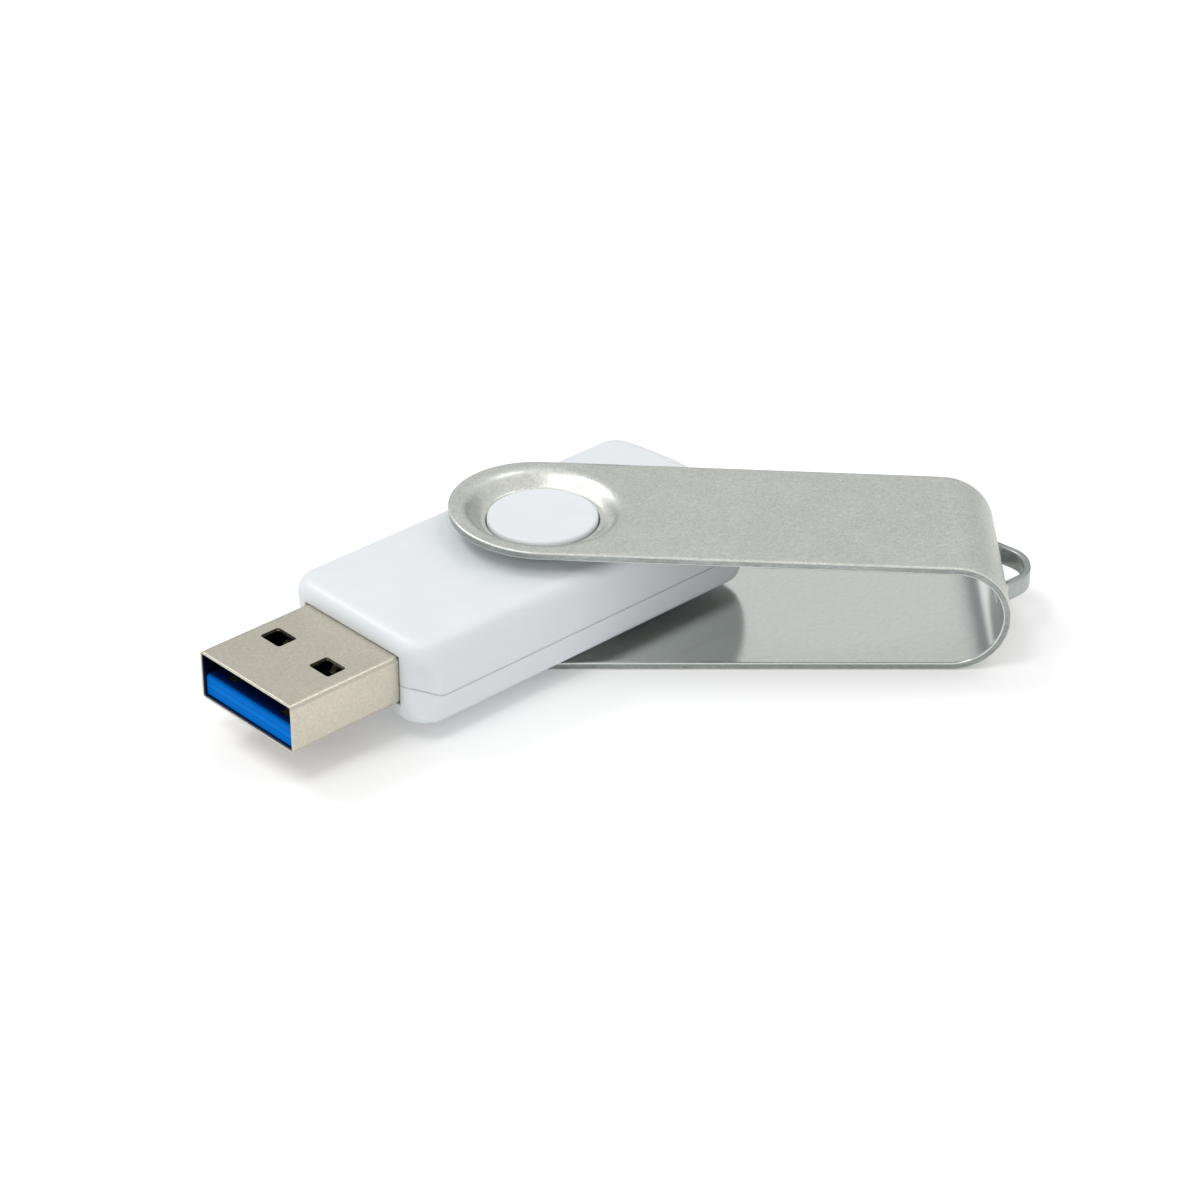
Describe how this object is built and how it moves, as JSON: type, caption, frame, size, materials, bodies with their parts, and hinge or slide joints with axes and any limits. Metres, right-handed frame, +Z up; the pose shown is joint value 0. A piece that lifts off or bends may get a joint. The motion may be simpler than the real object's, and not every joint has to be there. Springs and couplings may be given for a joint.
{
  "type": "usb flash drive",
  "caption": "Flash drive in a slim two-part case with a USB-A plug, guarded by a folded steel clip that swivels on hub discs and has a lanyard loop.",
  "frame": {"origin": "on the swivel axis, in the plane of the underside of the clip's lower arm, which the drive rests on", "axes": "+X along the case, out of the plug; +Z up, along the swivel axis; +Y completes a right-handed frame"},
  "size_m": [0.067, 0.0417, 0.0118],
  "materials": {
    "clip_steel": "satin rolled steel with a fine grain",
    "case_plastic": "satin moulded white plastic",
    "plug_metal": "satin nickel plate",
    "insulator_blue": "satin",
    "retainer_plastic": "matt",
    "contact_gold": "gold flash",
    "board_laminate": "solder mask",
    "solder": "bright solder",
    "chip_black": "matt mould compound",
    "tinned_lead": "satin tin plate",
    "ceramic_dark": "matt",
    "crystal_lid_metal": "satin",
    "ceramic_tan": "matt",
    "ferrite": "matt",
    "ceramic_white": "matt",
    "lens_clear": "clear"
  },
  "bodies": {
    "drive": {"upper_case": "case_plastic", "lower_case": "case_plastic", "plug_shell": "plug_metal", "plug_insulator": "insulator_blue", "contact_retainer": "retainer_plastic", "usb2_contacts": "contact_gold", "superspeed_contacts": "contact_gold", "circuit_board": "board_laminate", "shell_solder": "solder", "contact_solder": "solder", "flash_chip": "chip_black", "flash_leads": "tinned_lead", "controller_chip": "chip_black", "controller_pads": "tinned_lead", "crystal_base": "ceramic_dark", "crystal_lid": "crystal_lid_metal", "regulator_body": "chip_black", "regulator_leads": "tinned_lead", "capacitor_bodies": "ceramic_tan", "capacitor_terminals": "tinned_lead", "resistor_bodies": "ceramic_dark", "resistor_terminals": "tinned_lead", "inductor_body": "ferrite", "inductor_terminals": "tinned_lead", "led_base": "ceramic_white", "led_lens": "lens_clear"},
    "clip": {"swivel_clip": "clip_steel"}
  },
  "joints": [
    {"name": "clip_swivel", "type": "hinge", "parent": "drive", "child": "clip", "pos_m": [0, 0, 0], "axis": [0, 0, 1], "continuous": true}
  ]
}
